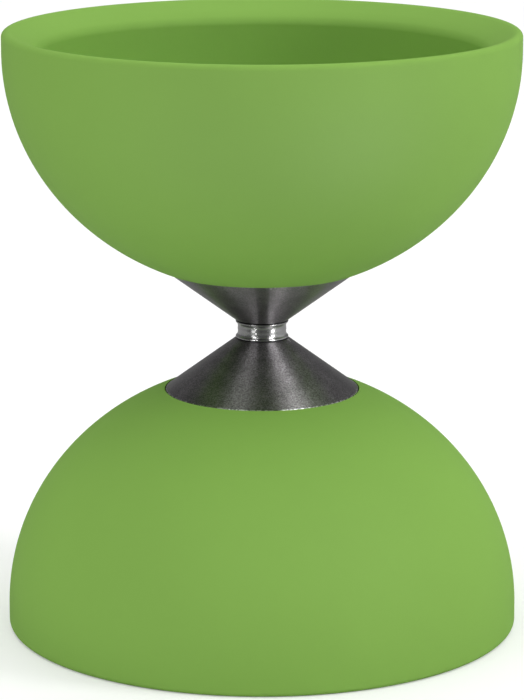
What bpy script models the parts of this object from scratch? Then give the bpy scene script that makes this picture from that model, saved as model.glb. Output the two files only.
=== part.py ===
"""A bearing diabolo, modelled piece by piece.

Two soft rubber cups stand back to back on metal cones. One axle runs through everything, and a lock
nut inside each cup clamps a disc on the cup's floor, the floor on the cone, and the cone on the
bearings' inner rings. Between the cones a grooved sleeve carries the string, and it turns on two
shielded ball bearings.

Metres, +Z up. The origin is the middle of the lower rim's plane, and +Z runs along the axle. Outlines
are written for the upper half, as (radius, height above the middle plane), and the lower half is
their mirror image.
"""

import math

import bmesh
import bpy

MM = 0.001

# Overall
OVERALL_LENGTH = 135.0 * MM
RIM_RADIUS = 57.5 * MM

# Cup
CROWN_RISE = 4.4 * MM  # from the cup's widest circle to its rim plane
CROWN_FILLET = 1.2 * MM  # outer corner of the rim
CROWN_FLAT = 0.6 * MM  # width of the flat ring that the cup stands on
RIM_WALL = 8.1 * MM  # wall at the widest circle, where the rim is heavy
RIM_HOLLOW_RADIUS = 1.6 * MM  # rounding where the sloping rim turns down into the hollow
CUP_WALL = 3.0 * MM  # wall of the dome, past the heavy rim
HEAVY_RIM_ANGLE = math.radians(40.0)  # how far round the dome the heavy rim thins out
CUP_FLOOR = 4.0 * MM  # rubber between the cone and the clamp disc

# Cone
CONE_BASE_RADIUS = 21.75 * MM
CONE_LIP_STEP = 0.05 * MM  # the cone's small end stands this far proud of the sleeve's flange
CONE_SIDE_ANGLE = math.radians(36.57)  # between the cone's side and its base
CONE_EDGE = 0.45 * MM  # straight edge round the base
CONE_SINK = 0.10 * MM  # how deep the base's edge sits below the cup's surface
SPIGOT_WALL = 2.5 * MM  # of the hub behind the base, which centres the cup
SPIGOT_SHORTFALL = 0.8 * MM  # the spigot ends this far inside the cup's floor

# String sleeve
SLEEVE_VISIBLE_LENGTH = 3.7 * MM
SLEEVE_WAIST_WALL = 0.88 * MM  # round the bearings, where the string runs
SLEEVE_FLANGE_HEIGHT = 0.50 * MM  # from the waist out to the flange
SLEEVE_FLANGE_EDGE = 0.30 * MM
SLEEVE_FLANGE_SLOPE = 0.60 * MM  # length of the curve from the flange down to the waist
SLEEVE_TAIL_WALL = 0.60 * MM  # round the bearings, in the tails that hide in the cones
SLEEVE_RIB_WIDTH = 1.6 * MM  # rib between the two outer rings
SLEEVE_RIB_HEIGHT = 0.45 * MM
TAIL_OVERRUN = 0.20 * MM  # the tail ends this far past the bearing

# Bearings
BEARING_BORE_RADIUS = 2.5 * MM
BALL_COUNT = 7
BALL_RADIUS = 0.6 * MM
RING_BACK = 0.34 * MM  # metal behind each groove
SHIELD_THICKNESS = 0.15 * MM
SHIELD_INSET = 0.10 * MM  # from the bearing's face to the shield
SHIELD_SEAT = 0.40 * MM  # how deep the shield reaches into the outer ring
CAGE_WALL = 0.56 * MM
CAGE_WEB = 0.30 * MM  # solid ring behind the balls
CAGE_HORN = 0.35 * MM  # how far the cage's fingers reach past the balls' middle

# Axle and clamping pieces
WASHER_WALL = 2.25 * MM
WASHER_THICKNESS = 1.0 * MM
SHIM_WALL = 0.5 * MM
SHIM_THICKNESS = 0.5 * MM
DISC_RADIUS = 16.0 * MM
DISC_THICKNESS = 2.0 * MM
DISC_CHAMFER = 0.4 * MM
NUT_WALL = 1.5 * MM  # from the thread to the flats
NUT_HEX_HEIGHT = 4.0 * MM
NUT_COLLAR_HEIGHT = 1.0 * MM
NUT_COLLAR_WALL = 1.0 * MM
AXLE_STICK_OUT = 1.2 * MM  # past the lock nut
AXLE_CHAMFER = 0.5 * MM

# Clearances
SEAT_GAP = 0.30 * MM  # between pieces that rest on each other
FACE_GAP = 0.30 * MM  # running gap at each end of the sleeve
TAIL_GAP = 0.25 * MM  # running gap round the sleeve's tails
PRESS_GAP = 0.05 * MM  # between pieces pressed or slid together
BALL_GAP = 0.06 * MM  # between a ball and its grooves
POCKET_GAP = 0.08 * MM  # between a ball and its cage
CAGE_GAP = 0.12 * MM  # between the cage and the rings
CAGE_END_GAP = 0.27 * MM  # between the cage's back and the shield
SHIELD_GAP = 0.17 * MM  # between a shield and the inner ring
BOLT_GAP = 0.30 * MM  # round the axle where a hole only passes it

# Facets round each turned piece
CUP_STEPS = 36
CONE_STEPS = 36
SMALL_STEPS = 32
PLAIN_STEPS = 24
DOME_POINTS = 10
HOLLOW_POINTS = 8
CORNER_POINTS = 3
GROOVE_POINTS = 4
BALL_SEGMENTS = 8
BALL_RINGS = 6
MERGE_DISTANCE = 0.00001
SHARP_ANGLE = math.radians(35.0)

# A bearing's section follows from its balls
GROOVE_RADIUS = BALL_RADIUS + BALL_GAP
RING_LAND = CAGE_WALL / 2 + CAGE_GAP  # from the balls' pitch circle to each ring's shoulder
GROOVE_ANGLE = math.acos(RING_LAND / GROOVE_RADIUS)
BEARING_OUTER_RADIUS = BEARING_BORE_RADIUS + 2 * (RING_BACK + GROOVE_RADIUS)
CAGE_BACK = BALL_RADIUS + POCKET_GAP + CAGE_WEB
SHIELD_PLANE = CAGE_BACK + CAGE_END_GAP
BEARING_WIDTH = 2 * (SHIELD_PLANE + SHIELD_THICKNESS + SHIELD_INSET)

# Radii that follow from the fits
AXLE_RADIUS = BEARING_BORE_RADIUS - PRESS_GAP
BOLT_HOLE_RADIUS = AXLE_RADIUS + BOLT_GAP
WASHER_RADIUS = BOLT_HOLE_RADIUS + WASHER_WALL
SHIM_RADIUS = BEARING_BORE_RADIUS + SHIM_WALL
SPIGOT_RADIUS = BEARING_BORE_RADIUS + SPIGOT_WALL
PITCH_RADIUS = (BEARING_BORE_RADIUS + BEARING_OUTER_RADIUS) / 2
INNER_LAND_RADIUS = PITCH_RADIUS - RING_LAND
OUTER_LAND_RADIUS = PITCH_RADIUS + RING_LAND
SHIELD_SEAT_RADIUS = OUTER_LAND_RADIUS + SHIELD_SEAT
SLEEVE_BORE_RADIUS = BEARING_OUTER_RADIUS + PRESS_GAP
SLEEVE_TAIL_RADIUS = SLEEVE_BORE_RADIUS + SLEEVE_TAIL_WALL
SLEEVE_WAIST_RADIUS = SLEEVE_BORE_RADIUS + SLEEVE_WAIST_WALL
SLEEVE_FLANGE_RADIUS = SLEEVE_WAIST_RADIUS + SLEEVE_FLANGE_HEIGHT
COUNTERBORE_RADIUS = SLEEVE_TAIL_RADIUS + TAIL_GAP
CONE_LIP_RADIUS = SLEEVE_FLANGE_RADIUS + CONE_LIP_STEP
CONE_FIT_RADIUS = CONE_BASE_RADIUS + SEAT_GAP

# Heights above the middle plane, from the middle outwards
MIDDLE = OVERALL_LENGTH / 2
RIM_PLANE = OVERALL_LENGTH / 2
WIDEST_PLANE = RIM_PLANE - CROWN_RISE
BEARING_INNER_FACE = SLEEVE_RIB_WIDTH / 2 + SEAT_GAP
BEARING_PLANE = BEARING_INNER_FACE + BEARING_WIDTH / 2
BEARING_OUTER_FACE = BEARING_INNER_FACE + BEARING_WIDTH
TAIL_END = BEARING_OUTER_FACE + TAIL_OVERRUN
SHIM_FACE = BEARING_OUTER_FACE + SEAT_GAP
COUNTERBORE_FLOOR = SHIM_FACE + SHIM_THICKNESS + SEAT_GAP
LIP_PLANE = SLEEVE_VISIBLE_LENGTH / 2 + FACE_GAP
CONE_HEIGHT = (CONE_BASE_RADIUS - CONE_LIP_RADIUS) * math.tan(CONE_SIDE_ANGLE)
CONE_EDGE_PLANE = LIP_PLANE + CONE_HEIGHT
DOME_EDGE_PLANE = CONE_EDGE_PLANE - CONE_SINK
CONE_BACK_PLANE = CONE_EDGE_PLANE + CONE_EDGE
CUP_SEAT_PLANE = CONE_BACK_PLANE + SEAT_GAP
CUP_FLOOR_PLANE = CUP_SEAT_PLANE + CUP_FLOOR
SPIGOT_END = CUP_FLOOR_PLANE - SPIGOT_SHORTFALL
DISC_FACE = CUP_FLOOR_PLANE + SEAT_GAP
WASHER_FACE = DISC_FACE + DISC_THICKNESS + SEAT_GAP
NUT_FACE = WASHER_FACE + WASHER_THICKNESS + SEAT_GAP
NUT_END = NUT_FACE + NUT_HEX_HEIGHT + NUT_COLLAR_HEIGHT
AXLE_END = NUT_END + AXLE_STICK_OUT

# The dome is an ellipse through its widest circle and the edge of the cone's seat
SEAT_COSINE = math.sqrt(1 - (CONE_FIT_RADIUS / RIM_RADIUS) ** 2)
DOME_DEPTH = (WIDEST_PLANE - DOME_EDGE_PLANE) / SEAT_COSINE


def new_collection(name):
    collection = bpy.data.collections.new(name)
    bpy.context.scene.collection.children.link(collection)
    return collection


def new_material(name, colour, roughness, metallic):
    material = bpy.data.materials.new(name)
    material.use_nodes = True
    shader = material.node_tree.nodes["Principled BSDF"]
    shader.inputs["Base Color"].default_value = (*colour, 1.0)
    shader.inputs["Roughness"].default_value = roughness
    shader.inputs["Metallic"].default_value = metallic
    material.diffuse_color = (*colour, 1.0)
    return material


def axis_empty(name, height):
    """An empty on the axle's line, which the pieces that turn together hang from."""
    empty = bpy.data.objects.new(name, None)
    empty.location = (0, 0, height)
    empty.empty_display_size = CONE_LIP_RADIUS
    parts.objects.link(empty)
    return empty


def add_object(name, mesh, parent, height, material=None):
    """Add a piece, with a material, or a cutter, with none."""
    piece = bpy.data.objects.new(name, mesh)
    piece.parent = parent
    piece.location = (0, 0, height)
    if material is None:
        cutters.objects.link(piece)
        piece.hide_render = True
        piece.display_type = "WIRE"
    else:
        parts.objects.link(piece)
        piece.data.materials.append(material)
    return piece


def shade(mesh):
    mesh.shade_smooth()
    mesh.set_sharp_from_angle(angle=SHARP_ANGLE)


def evaluated_mesh(piece):
    bpy.context.view_layer.update()
    graph = bpy.context.evaluated_depsgraph_get()
    return bpy.data.meshes.new_from_object(piece.evaluated_get(graph), depsgraph=graph)


def keep_modifiers_result(piece):
    """Swap the piece's mesh for its modifiers' result, so that its sharp edges can be marked."""
    old = piece.data
    piece.data = evaluated_mesh(piece)
    piece.modifiers.clear()
    bpy.data.meshes.remove(old)
    piece.data.name = piece.name
    shade(piece.data)


def turned(name, outline, steps, parent, material, side=1, height=0.0, closed=True):
    """Turn an outline about the axle.

    The outline runs down its outer side first. A side of -1 turns its mirror image instead. An outline
    that isn't closed starts and ends on the axis.
    """
    points = [(radius, side * level) for radius, level in outline]
    if side < 0:
        points.reverse()
    shape = bmesh.new()
    corners = [shape.verts.new((radius, 0, level)) for radius, level in points]
    pairs = list(zip(corners, corners[1:]))
    if closed:
        pairs.append((corners[-1], corners[0]))
    for pair in pairs:
        shape.edges.new(pair)
    mesh = bpy.data.meshes.new(name)
    shape.to_mesh(mesh)
    shape.free()
    piece = add_object(name, mesh, parent, side * height, material)
    screw = piece.modifiers.new("Turn", "SCREW")
    screw.steps = steps
    screw.render_steps = steps
    screw.use_merge_vertices = not closed
    screw.merge_threshold = MERGE_DISTANCE
    keep_modifiers_result(piece)
    return piece


def cut(piece, cutter, operation="DIFFERENCE"):
    boolean = piece.modifiers.new(cutter.name, "BOOLEAN")
    boolean.operation = operation
    boolean.object = cutter
    boolean.solver = "EXACT"


def tube_outline(inner, outer, low, high):
    return [(outer, high), (outer, low), (inner, low), (inner, high)]


def arc(centre, radius, start, end, count):
    """Points on an arc about a centre (radius, level), with angles from +X towards +Z."""
    points = []
    for index in range(count + 1):
        angle = start + (end - start) * index / count
        points.append(
            (
                centre[0] + radius * math.cos(angle),
                centre[1] + radius * math.sin(angle),
            )
        )
    return points


# ---------------------------------------------------------------- cup


def dome_point(angle):
    """A point on the outside of the dome, from 0 at the widest circle towards the cone."""
    return (
        RIM_RADIUS * math.cos(angle),
        WIDEST_PLANE - DOME_DEPTH * math.sin(angle),
    )


def hollow_point(angle):
    """The point inside the wall from dome_point: the heavy rim thins smoothly to the plain wall."""
    radius, level = dome_point(angle)
    normal = (math.cos(angle) * DOME_DEPTH, -math.sin(angle) * RIM_RADIUS)
    length = math.hypot(*normal)
    share = min(1.0, angle / HEAVY_RIM_ANGLE)
    extra = (RIM_WALL - CUP_WALL) * (1 + math.cos(math.pi * share)) / 2
    wall = CUP_WALL + extra
    return radius - wall * normal[0] / length, level - wall * normal[1] / length


def hollow_points():
    """The hollow from its floor up to the widest circle."""
    low, high = 0.0, math.pi / 2
    for _ in range(50):
        middle = (low + high) / 2
        if hollow_point(middle)[1] > CUP_FLOOR_PLANE:
            low = middle
        else:
            high = middle
    return [
        hollow_point(low * (HOLLOW_POINTS - index) / HOLLOW_POINTS)
        for index in range(HOLLOW_POINTS + 1)
    ]


def cup_outline():
    crown_radius = RIM_RADIUS - CROWN_FILLET
    crown = arc(
        (crown_radius, RIM_PLANE - CROWN_FILLET),
        CROWN_FILLET,
        math.pi / 2,
        0,
        CORNER_POINTS,
    )
    edge_angle = math.acos(CONE_FIT_RADIUS / RIM_RADIUS)
    dome = [
        dome_point(edge_angle * index / DOME_POINTS) for index in range(DOME_POINTS + 1)
    ]
    seat = [
        (CONE_FIT_RADIUS, CUP_SEAT_PLANE),
        (SPIGOT_RADIUS + SEAT_GAP, CUP_SEAT_PLANE),
        (SPIGOT_RADIUS + SEAT_GAP, CUP_FLOOR_PLANE),
    ]
    hollow = hollow_points()
    lip_radius = hollow[-1][0]
    slope_start = (crown_radius - CROWN_FLAT, RIM_PLANE)
    shoulder = (lip_radius + RIM_HOLLOW_RADIUS, WIDEST_PLANE + RIM_HOLLOW_RADIUS)
    return crown + dome + seat + hollow + [shoulder, slope_start]


# ---------------------------------------------------------------- cone and sleeve


def cone_outline():
    return [
        (SPIGOT_RADIUS, SPIGOT_END),
        (SPIGOT_RADIUS, CONE_BACK_PLANE),
        (CONE_BASE_RADIUS, CONE_BACK_PLANE),
        (CONE_BASE_RADIUS, CONE_EDGE_PLANE),
        (CONE_LIP_RADIUS, LIP_PLANE),
        (COUNTERBORE_RADIUS, LIP_PLANE),
        (COUNTERBORE_RADIUS, COUNTERBORE_FLOOR),
        (BEARING_BORE_RADIUS, COUNTERBORE_FLOOR),
        (BEARING_BORE_RADIUS, SPIGOT_END),
    ]


def sleeve_outline():
    """The whole sleeve: flanges and waist outside, tails in the cones, a rib inside."""
    half = SLEEVE_VISIBLE_LENGTH / 2
    flange = half - SLEEVE_FLANGE_EDGE
    waist = flange - SLEEVE_FLANGE_SLOPE
    rib = SLEEVE_RIB_WIDTH / 2
    upper = [
        (SLEEVE_TAIL_RADIUS, TAIL_END),
        (SLEEVE_TAIL_RADIUS, half),
        (SLEEVE_FLANGE_RADIUS, half),
        (SLEEVE_FLANGE_RADIUS, flange),
        (SLEEVE_WAIST_RADIUS, waist),
    ]
    lower = [(radius, -level) for radius, level in reversed(upper)]
    rib_radius = SLEEVE_BORE_RADIUS - SLEEVE_RIB_HEIGHT
    bore = [
        (SLEEVE_BORE_RADIUS, -TAIL_END),
        (SLEEVE_BORE_RADIUS, -rib),
        (rib_radius, -rib),
        (rib_radius, rib),
        (SLEEVE_BORE_RADIUS, rib),
        (SLEEVE_BORE_RADIUS, TAIL_END),
    ]
    return upper + lower + bore


# ---------------------------------------------------------------- bearing pieces, about their middle


def groove(towards):
    """The balls' groove, from one shoulder of the ring to the other, centred on an angle."""
    centre = (PITCH_RADIUS, 0.0)
    start, end = towards - GROOVE_ANGLE, towards + GROOVE_ANGLE
    return arc(centre, GROOVE_RADIUS, start, end, GROOVE_POINTS)


def inner_ring_outline():
    half = BEARING_WIDTH / 2
    return [
        (INNER_LAND_RADIUS, half),
        *groove(towards=math.pi),
        (INNER_LAND_RADIUS, -half),
        (BEARING_BORE_RADIUS, -half),
        (BEARING_BORE_RADIUS, half),
    ]


def outer_ring_outline():
    half = BEARING_WIDTH / 2
    seat = SHIELD_PLANE - PRESS_GAP
    return [
        (BEARING_OUTER_RADIUS, half),
        (BEARING_OUTER_RADIUS, -half),
        (SHIELD_SEAT_RADIUS, -half),
        (SHIELD_SEAT_RADIUS, -seat),
        (OUTER_LAND_RADIUS, -seat),
        *groove(towards=0.0),
        (OUTER_LAND_RADIUS, seat),
        (SHIELD_SEAT_RADIUS, seat),
        (SHIELD_SEAT_RADIUS, half),
    ]


def make_ball_mesh():
    shape = bmesh.new()
    bmesh.ops.create_uvsphere(
        shape, u_segments=BALL_SEGMENTS, v_segments=BALL_RINGS, radius=BALL_RADIUS
    )
    mesh = bpy.data.meshes.new("bearing_ball")
    shape.to_mesh(mesh)
    shape.free()
    shade(mesh)
    mesh.materials.append(ball_steel)
    return mesh


def ball_place(index):
    angle = 2 * math.pi * index / BALL_COUNT
    return PITCH_RADIUS * math.cos(angle), PITCH_RADIUS * math.sin(angle)


def pocket_cutter(name, parent):
    """Spheres a little larger than the balls, where the balls sit."""
    shape = bmesh.new()
    for index in range(BALL_COUNT):
        made = bmesh.ops.create_uvsphere(
            shape,
            u_segments=BALL_SEGMENTS,
            v_segments=BALL_RINGS,
            radius=BALL_RADIUS + POCKET_GAP,
        )
        bmesh.ops.translate(shape, verts=made["verts"], vec=(*ball_place(index), 0))
    mesh = bpy.data.meshes.new(name)
    shape.to_mesh(mesh)
    shape.free()
    return add_object(name, mesh, parent, 0)


def make_cage(half, side, parent):
    """A crown cage: a ring behind the balls with fingers between them."""
    inner = PITCH_RADIUS - CAGE_WALL / 2
    outer = PITCH_RADIUS + CAGE_WALL / 2
    cage = turned(
        f"{half}_bearing_cage",
        tube_outline(inner, outer, -CAGE_BACK, CAGE_HORN),
        SMALL_STEPS - SMALL_STEPS % BALL_COUNT,
        parent,
        cage_brass,
        side,
    )
    cut(cage, pocket_cutter(f"{half}_cage_pockets", parent))
    keep_modifiers_result(cage)


def make_bearing(half, side, hub, sleeve, cage_axis):
    turned(
        f"{half}_bearing_inner_ring",
        inner_ring_outline(),
        SMALL_STEPS,
        hub,
        bearing_steel,
        side,
        BEARING_PLANE,
    )
    turned(
        f"{half}_bearing_outer_ring",
        outer_ring_outline(),
        SMALL_STEPS,
        sleeve,
        bearing_steel,
        side,
        BEARING_PLANE,
    )
    shield_outer = SHIELD_SEAT_RADIUS - PRESS_GAP
    shield_inner = INNER_LAND_RADIUS + SHIELD_GAP
    shield_face = SHIELD_PLANE + SHIELD_THICKNESS
    for place, facing in (("far", 1), ("near", -1)):
        levels = sorted((facing * SHIELD_PLANE, facing * shield_face))
        turned(
            f"{half}_bearing_{place}_shield",
            tube_outline(shield_inner, shield_outer, *levels),
            PLAIN_STEPS,
            sleeve,
            bearing_steel,
            side,
            BEARING_PLANE,
        )
    make_cage(half, side, cage_axis)
    for index in range(BALL_COUNT):
        ball = bpy.data.objects.new(f"{half}_bearing_ball_{index + 1}", ball_mesh)
        ball.parent = cage_axis
        ball.location = (*ball_place(index), 0)
        parts.objects.link(ball)


# ---------------------------------------------------------------- axle and clamping pieces


def axle_outline():
    end = AXLE_END
    neck = AXLE_RADIUS - AXLE_CHAMFER
    return [
        (0, end),
        (neck, end),
        (AXLE_RADIUS, end - AXLE_CHAMFER),
        (AXLE_RADIUS, -end + AXLE_CHAMFER),
        (neck, -end),
        (0, -end),
    ]


def disc_outline():
    top = DISC_FACE + DISC_THICKNESS
    return [
        (DISC_RADIUS - DISC_CHAMFER, top),
        (DISC_RADIUS, top - DISC_CHAMFER),
        (DISC_RADIUS, DISC_FACE),
        (BOLT_HOLE_RADIUS, DISC_FACE),
        (BOLT_HOLE_RADIUS, top),
    ]


def cylinder_mesh(name, radius, length, segments):
    """A capped cylinder about the origin."""
    shape = bmesh.new()
    bmesh.ops.create_cone(
        shape,
        cap_ends=True,
        segments=segments,
        radius1=radius,
        radius2=radius,
        depth=length,
    )
    mesh = bpy.data.meshes.new(name)
    shape.to_mesh(mesh)
    shape.free()
    return mesh


def make_lock_nut(half, side, hub):
    """A hexagon with a round collar, whose insert stops it working loose."""
    name = f"{half}_lock_nut"
    corner_radius = (BEARING_BORE_RADIUS + NUT_WALL) * 2 / math.sqrt(3)
    length = NUT_HEX_HEIGHT + NUT_COLLAR_HEIGHT
    collar_radius = BEARING_BORE_RADIUS + NUT_COLLAR_WALL
    nut = add_object(
        name,
        cylinder_mesh(name, corner_radius, NUT_HEX_HEIGHT, 6),
        hub,
        side * (NUT_FACE + NUT_HEX_HEIGHT / 2),
        nut_steel,
    )
    collar_length = NUT_HEX_HEIGHT / 2 + NUT_COLLAR_HEIGHT
    collar = add_object(
        f"{half}_nut_collar",
        cylinder_mesh("nut_collar", collar_radius, collar_length, PLAIN_STEPS),
        hub,
        side * (NUT_END - collar_length / 2),
    )
    bore = add_object(
        f"{half}_nut_bore",
        cylinder_mesh("nut_bore", BEARING_BORE_RADIUS, 2 * length, PLAIN_STEPS),
        hub,
        side * (NUT_FACE + length / 2),
    )
    cut(nut, collar, "UNION")
    cut(nut, bore)
    keep_modifiers_result(nut)


def make_half(half, side, hub):
    """Everything that is clamped on one end of the axle."""
    turned(f"{half}_cup", cup_outline(), CUP_STEPS, hub, cup_rubber, side)
    turned(f"{half}_cone", cone_outline(), CONE_STEPS, hub, cone_metal, side)
    turned(f"{half}_clamp_disc", disc_outline(), SMALL_STEPS, hub, disc_steel, side)
    washer_top = WASHER_FACE + WASHER_THICKNESS
    washer = tube_outline(BOLT_HOLE_RADIUS, WASHER_RADIUS, WASHER_FACE, washer_top)
    turned(f"{half}_washer", washer, PLAIN_STEPS, hub, nut_steel, side)
    shim = tube_outline(
        BEARING_BORE_RADIUS, SHIM_RADIUS, SHIM_FACE, SHIM_FACE + SHIM_THICKNESS
    )
    turned(f"{half}_shim", shim, PLAIN_STEPS, hub, bearing_steel, side)
    make_lock_nut(half, side, hub)


def make_middle(hub, sleeve):
    turned("string_sleeve", sleeve_outline(), SMALL_STEPS, sleeve, sleeve_steel)
    spacer_half = BEARING_INNER_FACE - SEAT_GAP
    spacer = tube_outline(BEARING_BORE_RADIUS, SHIM_RADIUS, -spacer_half, spacer_half)
    turned("bearing_spacer", spacer, PLAIN_STEPS, hub, bearing_steel)
    turned("axle", axle_outline(), SMALL_STEPS, hub, axle_steel, closed=False)


for old in list(bpy.data.objects):
    bpy.data.objects.remove(old, do_unlink=True)

parts = new_collection("bearing_diabolo")
cutters = new_collection("bearing_diabolo_cutters")

cup_rubber = new_material("cup_rubber", (0.195, 0.376, 0.073), 0.55, 0.0)
cone_metal = new_material("cone_metal", (0.12, 0.12, 0.125), 0.42, 0.9)
sleeve_steel = new_material("sleeve_steel", (0.60, 0.60, 0.60), 0.18, 1.0)
bearing_steel = new_material("bearing_steel", (0.55, 0.55, 0.56), 0.25, 1.0)
ball_steel = new_material("ball_steel", (0.70, 0.70, 0.71), 0.10, 1.0)
cage_brass = new_material("cage_brass", (0.62, 0.44, 0.16), 0.35, 0.9)
axle_steel = new_material("axle_steel", (0.42, 0.42, 0.43), 0.30, 1.0)
disc_steel = new_material("disc_steel", (0.50, 0.50, 0.51), 0.38, 0.9)
nut_steel = new_material("nut_steel", (0.56, 0.56, 0.55), 0.32, 0.9)

ball_mesh = make_ball_mesh()
hub_axis = axis_empty("hub_axis", MIDDLE)
sleeve_axis = axis_empty("sleeve_axis", MIDDLE)
make_middle(hub_axis, sleeve_axis)
for half_name, half_side in (("upper", 1), ("lower", -1)):
    cage_height = MIDDLE + half_side * BEARING_PLANE
    ball_axis = axis_empty(f"{half_name}_cage_axis", cage_height)
    make_half(half_name, half_side, hub_axis)
    make_bearing(half_name, half_side, hub_axis, sleeve_axis, ball_axis)
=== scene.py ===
"""Bearing diabolo: the fine surface of every piece, its materials, and a plain studio.

Lengths are in metres. Outlines are written for the upper half as (radius, height above the middle
plane, rounding), and a lower piece is the mirror image of the upper one.
"""

import math

import bmesh
import bpy
from bpy.props import FloatProperty, FloatVectorProperty, IntProperty, PointerProperty
from mathutils import Matrix, Vector


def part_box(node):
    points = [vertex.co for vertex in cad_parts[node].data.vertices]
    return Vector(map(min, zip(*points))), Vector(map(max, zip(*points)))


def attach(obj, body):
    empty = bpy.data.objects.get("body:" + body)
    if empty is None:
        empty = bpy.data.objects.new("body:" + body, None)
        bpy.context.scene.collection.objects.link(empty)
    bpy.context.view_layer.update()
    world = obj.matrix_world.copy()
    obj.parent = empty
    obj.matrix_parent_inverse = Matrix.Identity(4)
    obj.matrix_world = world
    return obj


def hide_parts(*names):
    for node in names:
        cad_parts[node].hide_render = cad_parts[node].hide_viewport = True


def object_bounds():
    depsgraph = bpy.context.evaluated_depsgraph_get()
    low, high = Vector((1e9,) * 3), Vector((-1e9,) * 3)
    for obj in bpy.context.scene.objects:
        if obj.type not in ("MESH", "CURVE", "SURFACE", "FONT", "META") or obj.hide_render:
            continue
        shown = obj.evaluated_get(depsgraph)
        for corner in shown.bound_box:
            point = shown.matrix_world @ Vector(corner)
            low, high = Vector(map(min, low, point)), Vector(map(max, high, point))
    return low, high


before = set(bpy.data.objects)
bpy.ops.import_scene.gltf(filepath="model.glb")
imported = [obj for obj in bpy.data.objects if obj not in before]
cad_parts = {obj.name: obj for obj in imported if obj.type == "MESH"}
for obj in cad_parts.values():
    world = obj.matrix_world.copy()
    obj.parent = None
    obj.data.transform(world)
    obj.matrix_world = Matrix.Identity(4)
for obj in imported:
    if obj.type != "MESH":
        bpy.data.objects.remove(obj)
CAD_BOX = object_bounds()

bl_info = {
    "name": "Bearing Diabolo",
    "version": (1, 0, 0),
    "blender": (4, 5, 0),
    "location": "View3D > Sidebar > Diabolo",
    "description": "Models a bearing diabolo with rubber cups on metal cones, piece by piece",
    "category": "Add Mesh",
}

MM = 0.001
FULL_TURN = 2 * math.pi
HALVES = (("upper", 1), ("lower", -1))


def top(node):
    """A node's highest point above the middle plane."""
    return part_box(node)[1][2] - MIDDLE


def bottom(node):
    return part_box(node)[0][2] - MIDDLE


def radius(node):
    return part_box(node)[1][0]


# What the frame gives: places and outer sizes of the CAD nodes
MIDDLE = (CAD_BOX[0][2] + CAD_BOX[1][2]) / 2
RIM_PLANE = top("upper_cup")
RIM_RADIUS = radius("upper_cup")
CONE_RADIUS = radius("upper_cone")
CONE_LIP_PLANE = bottom("upper_cone")
SPIGOT_END = top("upper_cone")
FLANGE_RADIUS = radius("string_sleeve")
TAIL_END = top("string_sleeve")
AXLE_RADIUS = radius("axle")
AXLE_END = top("axle")
DISC_RADIUS = radius("upper_clamp_disc")
DISC_FACE = bottom("upper_clamp_disc")
DISC_TOP = top("upper_clamp_disc")
WASHER_RADIUS = radius("upper_washer")
WASHER_FACE = bottom("upper_washer")
WASHER_TOP = top("upper_washer")
NUT_FACE = bottom("upper_lock_nut")
NUT_TOP = top("upper_lock_nut")
SHIM_RADIUS = radius("upper_shim")
SHIM_FACE = bottom("upper_shim")
SHIM_TOP = top("upper_shim")
SPACER_TOP = top("bearing_spacer")
RING_RADIUS = radius("upper_bearing_outer_ring")
RING_BOTTOM = bottom("upper_bearing_outer_ring")
RING_TOP = top("upper_bearing_outer_ring")
INNER_LAND = radius("upper_bearing_inner_ring")
BALL_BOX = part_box("upper_bearing_ball_1")
BALL_RADIUS = (BALL_BOX[1][2] - BALL_BOX[0][2]) / 2
PITCH_RADIUS = BALL_BOX[1][0] - BALL_RADIUS
BEARING_PLANE = (RING_BOTTOM + RING_TOP) / 2
SHIELD_RADIUS = radius("upper_bearing_far_shield")
SHIELD_FACE = bottom("upper_bearing_far_shield") - BEARING_PLANE
SHIELD_TOP = top("upper_bearing_far_shield") - BEARING_PLANE
CAGE_RADIUS = radius("upper_bearing_cage")
CAGE_BACK = BEARING_PLANE - bottom("upper_bearing_cage")
CAGE_HORN = top("upper_bearing_cage") - BEARING_PLANE
BALLS = sorted(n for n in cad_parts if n.startswith("upper_bearing_ball_"))

# Sizes that a box can't give: steps and rounds inside the outlines
BORE_RADIUS = AXLE_RADIUS + 0.05 * MM
HOLE_RADIUS = AXLE_RADIUS + 0.30 * MM
SPIGOT_RADIUS = BORE_RADIUS + 2.5 * MM
SEAT_GAP = 0.30 * MM
BASE_GAP = 0.14 * MM
CONE_EDGE = 0.45 * MM
CONE_SINK = 0.10 * MM
FACE_GAP = 0.30 * MM
CONE_SLOPE = math.tan(math.radians(53.43))
RIM_BLEND = math.radians(40.0)

# How finely pieces are made
SMOOTH_ANGLE = math.radians(32)
CORNER_SEGMENTS = 6
SLEEVE_STEPS = 160
SMALL_STEPS = 96
FACETS_PER_BALL = 18
WELD = 0.0005 * MM

# The studio. A panel has an azimuth and an elevation in degrees, and its width and height.
FLOOR_SHADE = 0.80
FLOOR_SHADE_IN_METAL = 0.35
FLOOR_HALF = 4.0
FLOOR_FRONT = 0.13
BELOW_HORIZON = 0.8
SOFTBOX_DISTANCE = 1.0
MATT_LIGHTS = (("key", 75, 28, (0.30, 0.45)), ("fill", -48, 10, (0.25, 0.6)))
STREAK_SIZE = (0.30, 0.3)
# Side, azimuth and share of the power, then level, elevation and how much wider it stands
STREAK_SIDES = (("right", 47, 1.0), ("left", -36, 0.34))
STREAK_LEVELS = (("high", 33, 1.0), ("middle", 0, 1.12), ("low", -33, 1.0))


# ---------------------------------------------------------------- settings


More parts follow.
